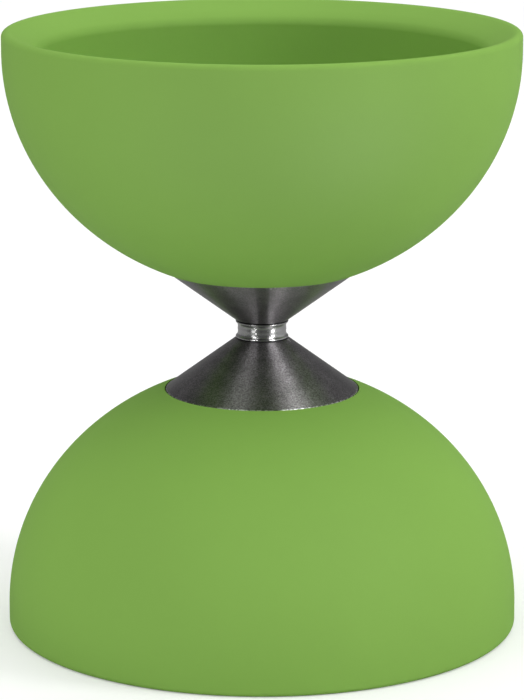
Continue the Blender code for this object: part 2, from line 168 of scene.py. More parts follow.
class DiaboloCupSettings(bpy.types.PropertyGroup):
    colour: FloatVectorProperty(
        name="Rubber",
        description="Colour of the rubber cups",
        subtype="COLOR",
        size=3,
        min=0,
        max=1,
        default=(0.229, 0.426, 0.082),
    )
    crown_rise: FloatProperty(
        name="Crown rise",
        description="From the cup's widest circle to its rim",
        unit="LENGTH",
        default=4.4 * MM,
    )
    crown_round: FloatProperty(
        name="Crown rounding",
        description="Rounding of the rim's outer corner",
        unit="LENGTH",
        default=1.2 * MM,
    )
    rim_wall: FloatProperty(
        name="Rim wall",
        description="Thickness of the heavy rim",
        unit="LENGTH",
        default=8.1 * MM,
    )
    wall: FloatProperty(
        name="Wall",
        description="Thickness of the dome",
        unit="LENGTH",
        default=3.0 * MM,
    )
    floor: FloatProperty(
        name="Floor",
        description="Rubber between the cone and the clamp disc",
        unit="LENGTH",
        default=4.0 * MM,
    )


class DiaboloMetalSettings(bpy.types.PropertyGroup):
    cone_colour: FloatVectorProperty(
        name="Cones",
        description="Colour of the cones' dark metal",
        subtype="COLOR",
        size=3,
        min=0,
        max=1,
        default=(0.200, 0.190, 0.198),
    )
    steel_colour: FloatVectorProperty(
        name="Steel",
        description="Colour of the sleeve, the axle and the bearings",
        subtype="COLOR",
        size=3,
        min=0,
        max=1,
        default=(0.55, 0.55, 0.55),
    )
    turning_pitch: FloatProperty(
        name="Turning marks",
        description="Mean distance between the lathe's marks on the cones",
        unit="LENGTH",
        default=0.12 * MM,
    )
    thread_pitch: FloatProperty(
        name="Thread pitch",
        description="Pitch of the thread at each end of the axle",
        unit="LENGTH",
        default=0.8 * MM,
    )


class DiaboloStageSettings(bpy.types.PropertyGroup):
    distance: FloatProperty(
        name="Camera distance",
        description="From the camera to the middle of the diabolo",
        unit="LENGTH",
        default=0.7458,
    )
    elevation: FloatProperty(
        name="Camera elevation",
        description="How far above the horizon the camera stands, seen from the diabolo",
        unit="ROTATION",
        default=math.radians(12.56),
    )
    pitch: FloatProperty(
        name="Camera pitch",
        description="How far the camera looks down",
        unit="ROTATION",
        default=math.radians(11.36),
    )
    lens: FloatProperty(
        name="Focal length",
        description="Focal length of the camera in millimetres",
        default=170.7,
    )
    shift: FloatProperty(
        name="Camera shift",
        description="Vertical shift of the camera's frame",
        default=-0.131,
    )
    key_power: FloatProperty(
        name="Key light",
        description="Power of the key light at the right, in watts",
        default=3.3,
    )
    fill_power: FloatProperty(
        name="Fill light",
        description="Power of the fill light at the left, in watts",
        default=1.3,
    )
    streak_high: FloatProperty(
        name="High streak",
        description="Power of the high panel that the metal mirrors at the right, in watts",
        default=9.0,
    )
    streak_middle: FloatProperty(
        name="Middle streak",
        description="Power of the level panel that the metal mirrors at the right, in watts",
        default=1.9,
    )
    streak_low: FloatProperty(
        name="Low streak",
        description="Power of the low panel that the metal mirrors at the right, in watts",
        default=46.0,
    )
    floor_glow: FloatProperty(
        name="Floor glow",
        description="How much whiter the floor looks to the camera than the light makes it",
        default=0.22,
    )
    zenith: FloatProperty(
        name="Sky overhead",
        description="Brightness of the room straight above",
        default=1.36,
    )
    horizon: FloatProperty(
        name="Sky at the horizon",
        description="Brightness of the room all round",
        default=0.14,
    )
    backdrop: FloatProperty(
        name="Backdrop",
        description="Brightness of the backdrop, as metal mirrors it",
        default=0.20,
    )
    right_wall: FloatProperty(
        name="Right wall",
        description="Extra brightness at the right, as metal mirrors it",
        default=0.5,
    )
    dark_front: FloatProperty(
        name="Dark front",
        description="Brightness of the room behind the camera, as metal mirrors it",
        default=0.10,
    )


class DiaboloSettings(bpy.types.PropertyGroup):
    cup: PointerProperty(type=DiaboloCupSettings)
    metal: PointerProperty(type=DiaboloMetalSettings)
    stage: PointerProperty(type=DiaboloStageSettings)
    steps: IntProperty(
        name="Turning steps",
        description="Facets round a large turned piece",
        default=192,
        min=24,
    )


def settings():
    return bpy.context.scene.diabolo


# ---------------------------------------------------------------- mesh helpers


def wire(corners, closed):
    """A bmesh that holds only an outline in the XZ plane, with its corners rounded."""
    shape = bmesh.new()
    points = [shape.verts.new((corner[0], 0, corner[1])) for corner in corners]
    for first, second in zip(points, points[1:]):
        shape.edges.new((first, second))
    if closed:
        shape.edges.new((points[-1], points[0]))
    for point, corner in zip(points, corners):
        if len(corner) > 2 and corner[2] > 0:
            bmesh.ops.bevel(
                shape,
                geom=[point],
                offset=corner[2],
                offset_type="OFFSET",
                segments=CORNER_SEGMENTS,
                profile=0.5,
                affect="VERTICES",
                material=-1,
            )
    return shape


def divide_long_edges(shape, longest):
    for edge in list(shape.edges):
        cuts = math.ceil(edge.calc_length() / longest) - 1
        if cuts > 0:
            bmesh.ops.subdivide_edges(shape, edges=[edge], cuts=cuts)


def spin_round(shape, steps):
    bmesh.ops.spin(
        shape,
        geom=[*shape.verts, *shape.edges],
        cent=(0, 0, 0),
        axis=(0, 0, 1),
        angle=FULL_TURN,
        steps=steps,
        use_merge=True,
    )
    bmesh.ops.remove_doubles(shape, verts=shape.verts, dist=WELD)
    bmesh.ops.recalc_face_normals(shape, faces=shape.faces)


def mesh_object(name, shape):
    mesh = bpy.data.meshes.new(name)
    shape.to_mesh(mesh)
    shape.free()
    made = bpy.data.objects.new(name, mesh)
    bpy.context.scene.collection.objects.link(made)
    return made


def finish_piece(name, shape, node, slot, body="hub", side=1, height=0.0, material=None):
    """Mirror and place a shape, and hang it on the frame in place of its CAD node."""
    shape.normal_update()
    if side < 0:
        mirror = Matrix.Scale(-1, 4, (0, 0, 1))
        bmesh.ops.transform(shape, matrix=mirror, verts=shape.verts)
        bmesh.ops.reverse_faces(shape, faces=shape.faces)
    bmesh.ops.translate(shape, verts=shape.verts, vec=(0, 0, MIDDLE + side * height))
    piece = mesh_object(name, shape)
    piece.data.shade_smooth()
    piece.data.set_sharp_from_angle(angle=SMOOTH_ANGLE)
    piece.data.materials.append(material or finish(slot))
    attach(piece, body)
    if node:
        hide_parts(node)
    return piece


def turned(corners, steps, closed=True, longest=1.5 * MM):
    shape = wire(corners, closed)
    divide_long_edges(shape, longest)
    spin_round(shape, steps)
    return shape


def ring(inner, outer, low, high, rounding):
    return [
        (outer, high, rounding),
        (outer, low, rounding),
        (inner, low, rounding),
        (inner, high, rounding),
    ]


def arc(centre, reach, start, end, count):
    """Points on an arc about a centre (radius, height), with angles from +X towards +Z."""
    points = []
    for index in range(count + 1):
        angle = start + (end - start) * index / count
        points.append(
            (
                centre[0] + reach * math.cos(angle),
                centre[1] + reach * math.sin(angle),
            )
        )
    return points


# ---------------------------------------------------------------- shader helpers


class NodeTree:
    """Short calls for adding nodes to a material's tree or a group's."""

    def __init__(self, tree):
        self.tree = tree

    def add(self, kind, values=None, **properties):
        node = self.tree.nodes.new(kind)
        for name, value in properties.items():
            setattr(node, name, value)
        for name, value in (values or {}).items():
            self.feed(value, node.inputs[name])
        return node

    def feed(self, value, socket):
        if isinstance(value, bpy.types.NodeSocket):
            self.tree.links.new(value, socket)
        else:
            socket.default_value = value

    def math(self, operation, first, second=0.0, third=0.0, clamp=False):
        node = self.tree.nodes.new("ShaderNodeMath")
        node.operation = operation
        node.use_clamp = clamp
        for value, socket in zip((first, second, third), node.inputs):
            self.feed(value, socket)
        return node.outputs[0]

    def mix(self, factor, first, second):
        node = self.tree.nodes.new("ShaderNodeMix")
        node.data_type = "RGBA"
        self.feed(factor, node.inputs["Factor"])
        self.feed(first, node.inputs["A"])
        self.feed(second, node.inputs["B"])
        return node.outputs["Result"]

    def ramp(self, value, low, high):
        """0 below low, 1 above high, smooth between."""
        node = self.add(
            "ShaderNodeMapRange",
            {"Value": value, "From Min": low, "From Max": high},
            interpolation_type="SMOOTHSTEP",
        )
        return node.outputs["Result"]

    def noise(self, vector, scale, detail=3.0, roughness=0.55):
        node = self.add(
            "ShaderNodeTexNoise",
            {
                "Vector": vector,
                "Scale": scale,
                "Detail": detail,
                "Roughness": roughness,
            },
        )
        return node.outputs["Fac"]


def new_group(name, inputs, outputs):
    """A shader node group with its sockets. It returns the helper, its inputs and its output node."""
    tree = bpy.data.node_groups.new(name, "ShaderNodeTree")
    for label, kind, default in inputs:
        socket = tree.interface.new_socket(label, in_out="INPUT", socket_type=kind)
        socket.default_value = default
    for label, kind in outputs:
        tree.interface.new_socket(label, in_out="OUTPUT", socket_type=kind)
    nodes = NodeTree(tree)
    entry = nodes.add("NodeGroupInput")
    leave = nodes.add("NodeGroupOutput")
    return tree, nodes, entry.outputs, leave.inputs


def object_coordinates(nodes):
    return nodes.add("ShaderNodeTexCoord").outputs["Object"]


def distance_from_axis(nodes, place):
    flat = nodes.add(
        "ShaderNodeVectorMath",
        {"Vector": place},
        operation="MULTIPLY",
    )
    flat.inputs[1].default_value = (1, 1, 0)
    length = nodes.add(
        "ShaderNodeVectorMath", {"Vector": flat.outputs["Vector"]}, operation="LENGTH"
    )
    return length.outputs["Value"]


NUMBER = "NodeSocketFloat"
COLOUR = "NodeSocketColor"


def make_mottle_group():
    """Slow drift of a colour and a roughness over the surface, as moulded or handled stock has."""
    tree, nodes, given, out = new_group(
        "surface_mottle",
        [
            ("Colour", COLOUR, (0.5, 0.5, 0.5, 1)),
            ("Second Colour", COLOUR, (0.4, 0.4, 0.4, 1)),
            ("Patch Scale", NUMBER, 60.0),
            ("Amount", NUMBER, 0.3),
            ("Speck Scale", NUMBER, 2500.0),
            ("Speck Amount", NUMBER, 0.0),
            ("Roughness", NUMBER, 0.5),
            ("Roughness Drift", NUMBER, 0.08),
        ],
        [("Colour", COLOUR), ("Roughness", NUMBER)],
    )
    place = object_coordinates(nodes)
    patches = nodes.noise(place, given["Patch Scale"], detail=5.0)
    spread = nodes.ramp(patches, 0.32, 0.68)
    share = nodes.math("MULTIPLY", spread, given["Amount"], clamp=True)
    blended = nodes.mix(share, given["Colour"], given["Second Colour"])
    specks = nodes.noise(place, given["Speck Scale"], detail=2.0, roughness=0.6)
    speckle = nodes.math("SUBTRACT", specks, 0.5)
    gain = nodes.math("MULTIPLY_ADD", speckle, given["Speck Amount"], 1.0)
    scaled = nodes.add(
        "ShaderNodeVectorMath", {"Vector": blended, "Scale": gain}, operation="SCALE"
    )
    nodes.feed(scaled.outputs["Vector"], out["Colour"])
    drift = nodes.math("MULTIPLY", speckle, given["Roughness Drift"])
    nodes.feed(nodes.math("ADD", given["Roughness"], drift), out["Roughness"])
    return tree


def make_grain_group():
    """The fine relief of a cast, tumbled or moulded skin, as a height."""
    tree, nodes, given, out = new_group(
        "surface_grain",
        [
            ("Grain Size", NUMBER, 0.0002),
            ("Fine", NUMBER, 1.0),
            ("Broad", NUMBER, 0.5),
        ],
        [("Height", NUMBER)],
    )
    place = object_coordinates(nodes)
    fine_scale = nodes.math("DIVIDE", 1.0, given["Grain Size"])
    fine = nodes.math(
        "MULTIPLY", nodes.noise(place, fine_scale, detail=4.0), given["Fine"]
    )
    broad_scale = nodes.math("MULTIPLY", fine_scale, 0.06)
    broad = nodes.math(
        "MULTIPLY", nodes.noise(place, broad_scale, detail=2.0), given["Broad"]
    )
    nodes.feed(nodes.math("ADD", fine, broad), out["Height"])
    return tree


def make_turning_group():
    """Rings left by a lathe, as a height and a mask. Slope says how far the rings climb with radius."""
    tree, nodes, given, out = new_group(
        "lathe_rings",
        [
            ("Pitch", NUMBER, 0.0001),
            ("Slope", NUMBER, 0.0),
            ("Waver", NUMBER, 0.15),
        ],
        [("Height", NUMBER), ("Mask", NUMBER)],
    )
    place = object_coordinates(nodes)
    parts = nodes.add("ShaderNodeSeparateXYZ", {"Vector": place}).outputs
    across = distance_from_axis(nodes, place)
    along = nodes.math(
        "ADD", parts["Z"], nodes.math("MULTIPLY", across, given["Slope"])
    )
    count = nodes.math("DIVIDE", along, given["Pitch"])
    wander = nodes.math(
        "MULTIPLY", nodes.noise(place, 150.0, detail=1.0), given["Waver"]
    )
    rings = nodes.add(
        "ShaderNodeTexNoise",
        {
            "W": nodes.math("ADD", count, wander),
            "Scale": 1.0,
            "Detail": 4.0,
            "Roughness": 0.7,
        },
        noise_dimensions="1D",
    ).outputs["Fac"]
    nodes.feed(rings, out["Height"])
    nodes.feed(nodes.ramp(rings, 0.42, 0.62), out["Mask"])
    return tree


def make_wear_group():
    """Where edges are rubbed bright: a mask and the colour that it uncovers."""
    tree, nodes, given, out = new_group(
        "edge_wear",
        [
            ("Colour", COLOUR, (0.2, 0.2, 0.2, 1)),
            ("Worn Colour", COLOUR, (0.6, 0.6, 0.6, 1)),
            ("Roughness", NUMBER, 0.4),
            ("Worn Roughness", NUMBER, 0.25),
            ("Amount", NUMBER, 0.5),
            ("Fleck Scale", NUMBER, 1500.0),
            ("Rim Radius", NUMBER, 1.0),
            ("Rim Width", NUMBER, 0.0002),
        ],
        [("Colour", COLOUR), ("Roughness", NUMBER), ("Mask", NUMBER)],
    )
    place = object_coordinates(nodes)
    sharpness = nodes.add("ShaderNodeNewGeometry").outputs["Pointiness"]
    across = distance_from_axis(nodes, place)
    rim = nodes.math(
        "DIVIDE", nodes.math("SUBTRACT", across, given["Rim Radius"]), given["Rim Width"]
    )
    edges = nodes.math(
        "MAXIMUM", nodes.ramp(sharpness, 0.505, 0.56), nodes.ramp(rim, -2.0, -1.0)
    )
    flecks = nodes.ramp(
        nodes.noise(place, given["Fleck Scale"], detail=4.0), 0.45, 0.60
    )
    mask = nodes.math(
        "MULTIPLY", nodes.math("MULTIPLY", edges, flecks), given["Amount"], clamp=True
    )
    nodes.feed(nodes.mix(mask, given["Colour"], given["Worn Colour"]), out["Colour"])
    worn = nodes.math("SUBTRACT", given["Worn Roughness"], given["Roughness"])
    nodes.feed(
        nodes.math("ADD", given["Roughness"], nodes.math("MULTIPLY", worn, mask)),
        out["Roughness"],
    )
    nodes.feed(mask, out["Mask"])
    return tree


GROUP_MAKERS = {
    "surface_mottle": make_mottle_group,
    "surface_grain": make_grain_group,
    "lathe_rings": make_turning_group,
    "edge_wear": make_wear_group,
}


def place_group(nodes, name, values):
    tree = bpy.data.node_groups.get(name) or GROUP_MAKERS[name]()
    node = nodes.tree.nodes.new("ShaderNodeGroup")
    node.node_tree = tree
    for label, value in values.items():
        nodes.feed(value, node.inputs[label])
    return node.outputs


def new_finish(name):
    """A material with a bare Principled shader."""
    material = bpy.data.materials.new(f"fine_{name}")
    material.use_nodes = True
    shader = material.node_tree.nodes["Principled BSDF"]
    return material, NodeTree(material.node_tree), shader


def add_relief(nodes, shader, height, depth, normal=None):
    values = {"Height": height, "Strength": 1.0, "Distance": depth}
    if normal:
        values["Normal"] = normal
    bump = nodes.add("ShaderNodeBump", values)
    nodes.feed(bump.outputs["Normal"], shader.inputs["Normal"])
    return bump.outputs["Normal"]


def rgba(colour, factor=1.0):
    return (*(min(1.0, part * factor) for part in colour), 1.0)


# ---------------------------------------------------------------- finishes


def lay_surface(nodes, shader, mottle_values, wear_values):
    """Mottle the colour and the roughness, and rub the edges where the finish wears."""
    surface = place_group(nodes, "surface_mottle", mottle_values)
    if wear_values:
        below = {"Colour": surface["Colour"], "Roughness": surface["Roughness"]}
        surface = place_group(nodes, "edge_wear", {**below, **wear_values})
    nodes.feed(surface["Colour"], shader.inputs["Base Color"])
    nodes.feed(surface["Roughness"], shader.inputs["Roughness"])


def lay_grain(nodes, shader, size, fine, broad, depth, below=None):
    values = {"Grain Size": size, "Fine": fine, "Broad": broad}
    grain = place_group(nodes, "surface_grain", values)
    add_relief(nodes, shader, grain["Height"], depth, below)


def brush(shader, amount):
    """Metal turned on a lathe: its gloss stretches across the marks."""
    shader.inputs["Metallic"].default_value = 1.0
    shader.inputs["Anisotropic"].default_value = amount
    shader.inputs["Anisotropic Rotation"].default_value = 0.25


def rubber_finish():
    """Matt moulded rubber: even colour, a soft skin grain, faint flow and handling marks."""
    colour = settings().cup.colour
    material, nodes, shader = new_finish("cup_rubber")
    shader.inputs["Specular IOR Level"].default_value = 0.05
    mottle = {
        "Colour": rgba(colour),
        "Second Colour": rgba(colour, 0.93),
        "Patch Scale": 28.0,
        "Amount": 0.35,
        "Roughness": 0.66,
        "Roughness Drift": 0.10,
    }
    wear = {
        "Worn Colour": rgba(colour, 1.18),
        "Worn Roughness": 0.62,
        "Amount": 0.35,
        "Fleck Scale": 500.0,
    }
    lay_surface(nodes, shader, mottle, wear)
    lay_grain(nodes, shader, 0.35 * MM, 0.6, 1.0, 0.03 * MM)
    return material


def cone_finish():
    """Dark turned metal, tumbled to a fine grain, with its base edge rubbed bright in places."""
    metal = settings().metal
    material, nodes, shader = new_finish("cone_metal")
    brush(shader, 0.8)
    mottle = {
        "Colour": rgba(metal.cone_colour),
        "Second Colour": rgba(metal.cone_colour, 1.5),
        "Patch Scale": 300.0,
        "Amount": 0.5,
        "Speck Scale": 3200.0,
        "Speck Amount": 2.4,
        "Roughness": 0.38,
        "Roughness Drift": 0.3,
    }
    wear = {
        "Worn Colour": rgba(metal.steel_colour, 1.6),
        "Worn Roughness": 0.35,
        "Amount": 0.75,
        "Fleck Scale": 1300.0,
        "Rim Radius": CONE_RADIUS,
        "Rim Width": 0.16 * MM,
    }
    lay_surface(nodes, shader, mottle, wear)
    values = {"Pitch": metal.turning_pitch, "Slope": CONE_SLOPE, "Waver": 0.4}
    rings = place_group(nodes, "lathe_rings", values)
    ringed = add_relief(nodes, shader, rings["Height"], 0.010 * MM)
    lay_grain(nodes, shader, 0.16 * MM, 1.0, 0.8, 0.012 * MM, ringed)
    return material


def steel_finish(name, roughness, pitch, shade=1.0, relief=0.004 * MM):
    """Bright turned steel with fine rings."""
    colour = settings().metal.steel_colour
    material, nodes, shader = new_finish(name)
    brush(shader, 0.85)
    # Shade scales the steel's colour down; the sleeve's tails use 0.1 as painted shade in the gap under
    # the cones' lips.
    mottle = {
        "Colour": rgba(colour, shade),
        "Second Colour": rgba(colour, shade * 0.82),
        "Patch Scale": 300.0,
        "Amount": 0.6,
        "Roughness": roughness,
        "Roughness Drift": 0.08,
    }
    wear = {
        "Worn Colour": rgba(colour, 1.35),
        "Worn Roughness": roughness * 0.8,
        "Amount": 0.6,
        "Fleck Scale": 2500.0,
    }
    lay_surface(nodes, shader, mottle, wear)
    rings = place_group(nodes, "lathe_rings", {"Pitch": pitch, "Waver": 0.1})
    add_relief(nodes, shader, rings["Height"], relief)
    return material


def plated_finish(name, colour, roughness):
    """Pressed sheet metal: a bright skin with cloudy patches and a fine grain."""
    material, nodes, shader = new_finish(name)
    shader.inputs["Metallic"].default_value = 1.0
    mottle = {
        "Colour": rgba(colour),
        "Second Colour": rgba(colour, 0.78),
        "Patch Scale": 190.0,
        "Amount": 0.8,
        "Roughness": roughness,
        "Roughness Drift": 0.18,
    }
    wear = {
        "Worn Colour": rgba(colour, 1.3),
        "Worn Roughness": roughness * 0.7,
        "Amount": 0.7,
        "Fleck Scale": 1200.0,
    }
    lay_surface(nodes, shader, mottle, wear)
    lay_grain(nodes, shader, 0.22 * MM, 0.8, 1.0, 0.010 * MM)
    return material


def nylon_finish():
    """The nut's locking insert: milky nylon."""
    material, nodes, shader = new_finish("insert_nylon")
    shader.inputs["Specular IOR Level"].default_value = 0.45
    mottle = {
        "Colour": (0.62, 0.66, 0.70, 1),
        "Second Colour": (0.52, 0.57, 0.62, 1),
        "Patch Scale": 400.0,
        "Amount": 0.6,
        "Roughness": 0.45,
        "Roughness Drift": 0.1,
    }
    lay_surface(nodes, shader, mottle, None)
    lay_grain(nodes, shader, 0.12 * MM, 1.0, 0.5, 0.008 * MM)
    return material


FINISHES = {
    "cup_rubber": rubber_finish,
    "cone_metal": cone_finish,
    "sleeve_steel": lambda: steel_finish("sleeve_steel", 0.24, 0.09 * MM),
    # The sleeve's tails and flange faces under the cones' lips: steel painted nearly black as the shade
    # in that gap.
    "greased_steel": lambda: steel_finish("greased_steel", 0.4, 0.09 * MM, shade=0.1),
    "axle_steel": lambda: steel_finish("axle_steel", 0.30, 0.15 * MM, shade=0.75),
    "bearing_steel": lambda: steel_finish("bearing_steel", 0.22, 0.06 * MM),
    "ball_steel": lambda: steel_finish("ball_steel", 0.06, 0.5 * MM, relief=0.0005 * MM),
    "disc_steel": lambda: plated_finish("disc_steel", (0.52, 0.53, 0.54), 0.34),
    "nut_steel": lambda: plated_finish("nut_steel", (0.60, 0.60, 0.58), 0.28),
    "insert_nylon": nylon_finish,
    "cage_brass": lambda: plated_finish("cage_brass", (0.62, 0.44, 0.17), 0.32),
}


def finish(slot):
    """The fine material of a slot, made once."""
    return bpy.data.materials.get(f"fine_{slot}") or FINISHES[slot]()


# ---------------------------------------------------------------- cups


def dome_point(angle, depth):
    """Outside of the dome, from 0 at the widest circle towards the cone."""
    widest = RIM_PLANE - settings().cup.crown_rise
    return RIM_RADIUS * math.cos(angle), widest - depth * math.sin(angle)


def hollow_point(angle, depth):
    """Inside of the dome: the heavy rim thins smoothly to the plain wall."""
    cup = settings().cup
    across, level = dome_point(angle, depth)
    normal = Vector((math.cos(angle) * depth, -math.sin(angle) * RIM_RADIUS))
    normal.normalize()
    share = min(1.0, angle / RIM_BLEND)
    extra = (cup.rim_wall - cup.wall) * (1 + math.cos(math.pi * share)) / 2
    wall = cup.wall + extra
    return across - wall * normal.x, level - wall * normal.y


def cup_corners():
    cup = settings().cup
    fit_radius = CONE_RADIUS + BASE_GAP
    dome_edge = bottom("upper_cup")
    widest = RIM_PLANE - cup.crown_rise
    depth = (widest - dome_edge) / math.sqrt(1 - (fit_radius / RIM_RADIUS) ** 2)
    seat = dome_edge + CONE_SINK + CONE_EDGE + SEAT_GAP
    floor = seat + cup.floor
    edge_angle = math.acos(fit_radius / RIM_RADIUS)
    crown = (RIM_RADIUS - cup.crown_round, RIM_PLANE - cup.crown_round)
    corners = arc(crown, cup.crown_round, math.pi / 2, 0, 10)
    dome_count = 60
    corners += [
        dome_point(edge_angle * index / dome_count, depth)
        for index in range(dome_count)
    ]
    corners += [
        (fit_radius, dome_edge, 0.08 * MM),
        (fit_radius, seat, 0.1 * MM),
        (SPIGOT_RADIUS + SEAT_GAP, seat, 0.15 * MM),
        (SPIGOT_RADIUS + SEAT_GAP, floor, 0.3 * MM),
    ]
    low, high = 0.0, math.pi / 2
    for _ in range(40):
        middle = (low + high) / 2
        if hollow_point(middle, depth)[1] > floor:
            low = middle
        else:
            high = middle
    hollow_count = 48
    hollow = [
        hollow_point(low * (hollow_count - index) / hollow_count, depth)
        for index in range(hollow_count + 1)
    ]
    hollow[0] = (*hollow[0], 2.0 * MM)
    lip = hollow.pop()
    shoulder = 1.6 * MM
    corners += hollow
    corners += [
        (lip[0], lip[1], 1.2 * MM),
        (lip[0] + shoulder, lip[1] + shoulder, 1.6 * MM),
        (RIM_RADIUS - cup.crown_round - 0.6 * MM, RIM_PLANE, 1.0 * MM),
    ]
    return corners


class DIABOLO_OT_make_cups(bpy.types.Operator):
    """Model the two rubber cups, with their heavy rims, hollows and seats"""

    bl_idname = "diabolo.make_cups"
    bl_label = "Cups"

    def execute(self, context):
        for half, side in HALVES:
            shape = turned(cup_corners(), context.scene.diabolo.steps)
            finish_piece(f"{half}_rubber_cup", shape, f"{half}_cup", "cup_rubber", side=side)
        return {"FINISHED"}


# ---------------------------------------------------------------- cones and sleeve


def cone_corners():
    edge = bottom("upper_cup") + CONE_SINK
    back = edge + CONE_EDGE
    lip_radius = FLANGE_RADIUS + 0.05 * MM
    counterbore = RING_RADIUS + 0.90 * MM
    floor = SHIM_TOP + SEAT_GAP
    return [
        (SPIGOT_RADIUS, SPIGOT_END, 0.3 * MM),
        (SPIGOT_RADIUS, back, 0.1 * MM),
        (CONE_RADIUS, back, 0.1 * MM),
        (CONE_RADIUS, edge, 0.18 * MM),
        (lip_radius, CONE_LIP_PLANE, 0.05 * MM),
        (counterbore, CONE_LIP_PLANE, 0.08 * MM),
        (counterbore, floor, 0.1 * MM),
        (BORE_RADIUS, floor, 0.1 * MM),
        (BORE_RADIUS, SPIGOT_END, 0.2 * MM),
    ]


class DIABOLO_OT_make_cones(bpy.types.Operator):
    """Model the two dark metal cones, bored for the axle and the sleeve's tails"""

    bl_idname = "diabolo.make_cones"
    bl_label = "Cones"

    def execute(self, context):
        for half, side in HALVES:
            shape = turned(cone_corners(), context.scene.diabolo.steps, longest=0.6 * MM)
            finish_piece(f"{half}_metal_cone", shape, f"{half}_cone", "cone_metal", side=side)
        return {"FINISHED"}


def sleeve_corners():
    """Half of the sleeve's outside from the tail to the middle, its mirror image, then the bore."""
    visible = CONE_LIP_PLANE - FACE_GAP
    tail_radius = RING_RADIUS + 0.65 * MM
    bore = RING_RADIUS + 0.05 * MM
    waist = bore + 0.88 * MM
    rib_radius = bore - 0.45 * MM
    rib = RING_BOTTOM - SEAT_GAP
    crest = 0.05 * MM
    upper = [
        (tail_radius, TAIL_END, 0.1 * MM),
        (tail_radius, visible, 0.05 * MM),
        (FLANGE_RADIUS, visible, 0.07 * MM),
        (FLANGE_RADIUS, visible - 0.26 * MM, 0.07 * MM),
        (waist + 0.10 * MM, visible - 0.62 * MM, 0.25 * MM),
        (waist, visible - 1.10 * MM, 0.30 * MM),
        (waist + crest, 0.10 * MM, 0.04 * MM),
    ]
    lower = [(across, -level, rounding) for across, level, rounding in reversed(upper)]
    inside = [
        (bore, -TAIL_END, 0.1 * MM),
        (bore, -rib, 0.04 * MM),
        (rib_radius, -rib, 0.08 * MM),
        (rib_radius, rib, 0.08 * MM),
        (bore, rib, 0.04 * MM),
        (bore, TAIL_END, 0.1 * MM),
    ]
    return upper + lower + inside


class DIABOLO_OT_make_sleeve(bpy.types.Operator):
    """Model the polished sleeve that the string runs round"""

    bl_idname = "diabolo.make_sleeve"
    bl_label = "String sleeve"

    def execute(self, context):
        shape = turned(sleeve_corners(), SLEEVE_STEPS, longest=0.12 * MM)
        end = CONE_LIP_PLANE - FACE_GAP - 0.01 * MM
        # Faces in the gap under the cones' lips take the second steel, painted nearly black as shade.
        for face in shape.faces:
            face.material_index = abs(face.calc_center_median().z) > end
        name = "polished_string_sleeve"
        sleeve = finish_piece(name, shape, "string_sleeve", "sleeve_steel", "sleeve")
        sleeve.data.materials.append(finish("greased_steel"))
        return {"FINISHED"}


# ---------------------------------------------------------------- axle and clamping pieces


def add_thread(shape, side):
    """Wind a thread's ridge round one end of the axle and close its two ends."""
    pitch = settings().metal.thread_pitch
    turns = 9
    root = AXLE_RADIUS - 0.42 * MM
    start = AXLE_END - 0.35 * MM - pitch * turns
    half_foot = pitch * 0.46
    half_crest = pitch * 0.08
    ridge = bmesh.new()
    outline = [
        (root, -half_foot),
        (AXLE_RADIUS - 0.02 * MM, -half_crest),
        (AXLE_RADIUS - 0.02 * MM, half_crest),
        (root, half_foot),
    ]
    points = [ridge.verts.new((across, 0, start + level)) for across, level in outline]
    first_face = ridge.faces.new(points)
    steps = 48 * turns
    bmesh.ops.spin(
        ridge,
        geom=[first_face, *first_face.edges, *first_face.verts],
        cent=(0, 0, 0),
        axis=(0, 0, 1),
        dvec=(0, 0, pitch * turns / steps),
        angle=FULL_TURN * turns,
        steps=steps,
        use_merge=False,
        use_duplicate=False,
    )
    bmesh.ops.remove_doubles(ridge, verts=ridge.verts, dist=WELD)
    bmesh.ops.recalc_face_normals(ridge, faces=ridge.faces)
    if side < 0:
        turn = Matrix.Rotation(math.pi, 4, "X")
        bmesh.ops.transform(ridge, matrix=turn, verts=ridge.verts)
    mesh = bpy.data.meshes.new("thread_ridge")
    ridge.to_mesh(mesh)
    ridge.free()
    shape.from_mesh(mesh)
    bpy.data.meshes.remove(mesh)


def axle_corners():
    """A plain shank, with a thinner core under each thread."""
    core = AXLE_RADIUS - 0.36 * MM
    thread_start = NUT_FACE - 3.0 * MM
    upper = [
        (0, AXLE_END),
        (core, AXLE_END, 0.25 * MM),
        (core, thread_start + 0.4 * MM, 0.1 * MM),
        (AXLE_RADIUS, thread_start, 0.1 * MM),
    ]
    lower = [(corner[0], -corner[1], *corner[2:]) for corner in reversed(upper)]
    return upper + lower


class DIABOLO_OT_make_axle(bpy.types.Operator):
    """Model the axle with a thread at each end"""

    bl_idname = "diabolo.make_axle"
    bl_label = "Axle"

    def execute(self, context):
        shape = turned(axle_corners(), SMALL_STEPS, closed=False, longest=2.0 * MM)
        for _, side in HALVES:
            add_thread(shape, side)
        finish_piece("threaded_axle", shape, "axle", "axle_steel")
        return {"FINISHED"}


def disc_corners():
    """A pressed disc with a shallow stiffening groove."""
    groove = 0.35 * MM
    return [
        (DISC_RADIUS - 3.2 * MM, DISC_TOP, 0.3 * MM),
        (DISC_RADIUS - 2.9 * MM, DISC_TOP, 0.0),
        (DISC_RADIUS, DISC_TOP, 0.4 * MM),
        (DISC_RADIUS, DISC_FACE, 0.15 * MM),
        (HOLE_RADIUS, DISC_FACE, 0.1 * MM),
        (HOLE_RADIUS, DISC_TOP, 0.2 * MM),
        (DISC_RADIUS - 7.4 * MM, DISC_TOP, 0.3 * MM),
        (DISC_RADIUS - 6.6 * MM, DISC_TOP - groove, 0.4 * MM),
        (DISC_RADIUS - 4.0 * MM, DISC_TOP - groove, 0.4 * MM),
    ]


